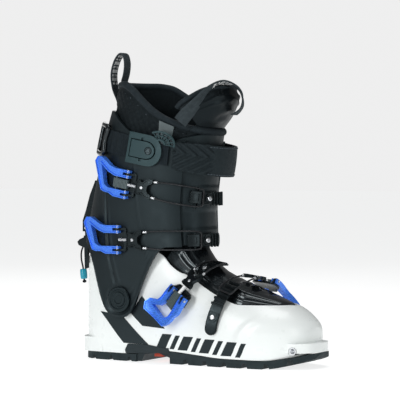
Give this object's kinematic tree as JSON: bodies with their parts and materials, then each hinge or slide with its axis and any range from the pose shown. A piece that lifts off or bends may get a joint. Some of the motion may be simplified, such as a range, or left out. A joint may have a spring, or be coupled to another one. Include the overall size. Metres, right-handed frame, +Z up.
{
  "type": "alpine touring boot",
  "caption": "Alpine touring boot with a pivoting cuff, walk lock lever, over-centre cable buckles, power strap, removable-style liner and rubber sole.",
  "frame": {"origin": "on the ground under the cuff pivot axis, mid-way across the heel tread", "axes": "+X forward to the toe, +Y to the inner side, +Z up along the leg"},
  "size_m": [0.3172, 0.1206, 0.3557],
  "materials": {
    "shell_white": "satin",
    "cuff_black": "matte",
    "gasket_black": "gloss",
    "lever_blue": "satin anodised",
    "steel": "satin",
    "sole_rubber": "matte",
    "shank_grey": "matte",
    "insert_orange": "matte",
    "liner_foam": "matte",
    "webbing_black": "matte",
    "strap_plate_grey": "satin",
    "adjuster_grey": "matte",
    "pivot_grey": "satin",
    "cord_black": "matte",
    "bead_teal": "gloss"
  },
  "bodies": {
    "shell": {"lower_shell": "shell_white", "outsole_front": "sole_rubber", "outsole_heel": "sole_rubber", "arch_shank": "shank_grey", "arch_insert": "insert_orange", "instep_gasket": "gasket_black", "liner_foot": "liner_foam", "outer_pivot": "pivot_grey", "inner_pivot": "pivot_grey", "toe_fitting": "steel", "heel_fitting": "steel", "instep_buckle_bracket": "cuff_black", "instep_buckle_rack": "cuff_black", "instep_buckle_screw": "steel", "toe_buckle_bracket": "cuff_black", "toe_buckle_rack": "cuff_black", "toe_buckle_screw": "steel"},
    "cuff": {"cuff_shell": "cuff_black", "cuff_flap": "cuff_black", "liner_shaft": "liner_foam", "liner_tongue": "liner_foam", "spine_plate": "cuff_black", "spine_rivet_upper": "steel", "spine_rivet_lower": "steel", "lock_pin": "steel", "power_strap": "webbing_black", "strap_webbing": "webbing_black", "rear_pull_loop": "webbing_black", "front_pull_loop": "webbing_black", "strap_ring": "cuff_black", "strap_plate": "strap_plate_grey", "upper_buckle_bracket": "cuff_black", "upper_buckle_rack": "cuff_black", "upper_buckle_screw": "steel", "lower_buckle_bracket": "cuff_black", "lower_buckle_rack": "cuff_black", "lower_buckle_screw": "steel"},
    "lock": {"lock_lever": "cuff_black", "pull_cord": "cord_black", "cord_bead": "bead_teal"},
    "latch": {"strap_latch": "strap_plate_grey"},
    "upper_buckle_lever": {"upper_buckle_lever": "lever_blue"},
    "upper_buckle_loop": {"upper_buckle_adjuster": "adjuster_grey", "upper_buckle_yoke": "cuff_black", "upper_buckle_cable": "steel"},
    "lower_buckle_lever": {"lower_buckle_lever": "lever_blue"},
    "lower_buckle_loop": {"lower_buckle_adjuster": "adjuster_grey", "lower_buckle_yoke": "cuff_black", "lower_buckle_cable": "steel"},
    "instep_buckle_lever": {"instep_buckle_lever": "lever_blue"},
    "instep_buckle_loop": {"instep_buckle_adjuster": "adjuster_grey", "instep_buckle_yoke": "cuff_black", "instep_buckle_cable": "steel"},
    "toe_buckle_lever": {"toe_buckle_lever": "lever_blue"},
    "toe_buckle_loop": {"toe_buckle_adjuster": "adjuster_grey", "toe_buckle_yoke": "cuff_black", "toe_buckle_cable": "steel"}
  },
  "joints": [
    {"name": "cuff_pivot", "type": "hinge", "parent": "shell", "child": "cuff", "pos_m": [0, 0, 0.0715], "axis": [0, 1, 0], "range_deg": [-38, 7]},
    {"name": "lock_lever_hinge", "type": "hinge", "parent": "cuff", "child": "lock", "pos_m": [-0.069, 0, 0.151], "axis": [0, 1, 0], "range_deg": [0, 80]},
    {"name": "strap_latch_hinge", "type": "hinge", "parent": "cuff", "child": "latch", "pos_m": [0.0201, -0.05815, 0.24555], "axis": [-0.2114, 0.0268, -0.977], "range_deg": [0, 30]},
    {"name": "upper_buckle_lever_hinge", "type": "hinge", "parent": "cuff", "child": "upper_buckle_lever", "pos_m": [0.01579, -0.05662, 0.20283], "axis": [0.1903, -0.0199, 0.9815], "range_deg": [0, 120]},
    {"name": "upper_buckle_loop_hinge", "type": "hinge", "parent": "upper_buckle_lever", "child": "upper_buckle_loop", "pos_m": [0.00151, -0.05433, 0.20546], "axis": [0.1843, -0.0492, 0.9816], "range_deg": [-169, 0]},
    {"name": "lower_buckle_lever_hinge", "type": "hinge", "parent": "cuff", "child": "lower_buckle_lever", "pos_m": [0.00182, -0.05334, 0.14], "axis": [0, 0, 1], "range_deg": [0, 120]},
    {"name": "lower_buckle_loop_hinge", "type": "hinge", "parent": "lower_buckle_lever", "child": "lower_buckle_loop", "pos_m": [-0.01253, -0.05127, 0.14], "axis": [0, 0, 1], "range_deg": [-147.4, 0]},
    {"name": "instep_buckle_lever_hinge", "type": "hinge", "parent": "shell", "child": "instep_buckle_lever", "pos_m": [0.07961, -0.05135, 0.0806], "axis": [-0.7756, 0.3893, 0.4969], "range_deg": [0, 110]},
    {"name": "instep_buckle_loop_hinge", "type": "hinge", "parent": "instep_buckle_lever", "child": "instep_buckle_loop", "pos_m": [0.07147, -0.05219, 0.06795], "axis": [-0.7645, 0.2801, 0.5806], "range_deg": [-135.2, 0]},
    {"name": "toe_buckle_lever_hinge", "type": "hinge", "parent": "shell", "child": "toe_buckle_lever", "pos_m": [0.15187, 0.02861, 0.09394], "axis": [0.9848, -0.1624, -0.0611], "range_deg": [0, 110]},
    {"name": "toe_buckle_loop_hinge", "type": "hinge", "parent": "toe_buckle_lever", "child": "toe_buckle_loop", "pos_m": [0.15306, 0.04076, 0.08408], "axis": [0.9883, -0.1433, -0.0518], "range_deg": [-135.2, 0]}
  ],
  "couplings": [
    {"joint": "upper_buckle_loop_hinge", "follows": "upper_buckle_lever_hinge", "ratio": -1.4},
    {"joint": "lower_buckle_loop_hinge", "follows": "lower_buckle_lever_hinge", "ratio": -1.22},
    {"joint": "instep_buckle_loop_hinge", "follows": "instep_buckle_lever_hinge", "ratio": -1.22},
    {"joint": "toe_buckle_loop_hinge", "follows": "toe_buckle_lever_hinge", "ratio": -1.22}
  ]
}
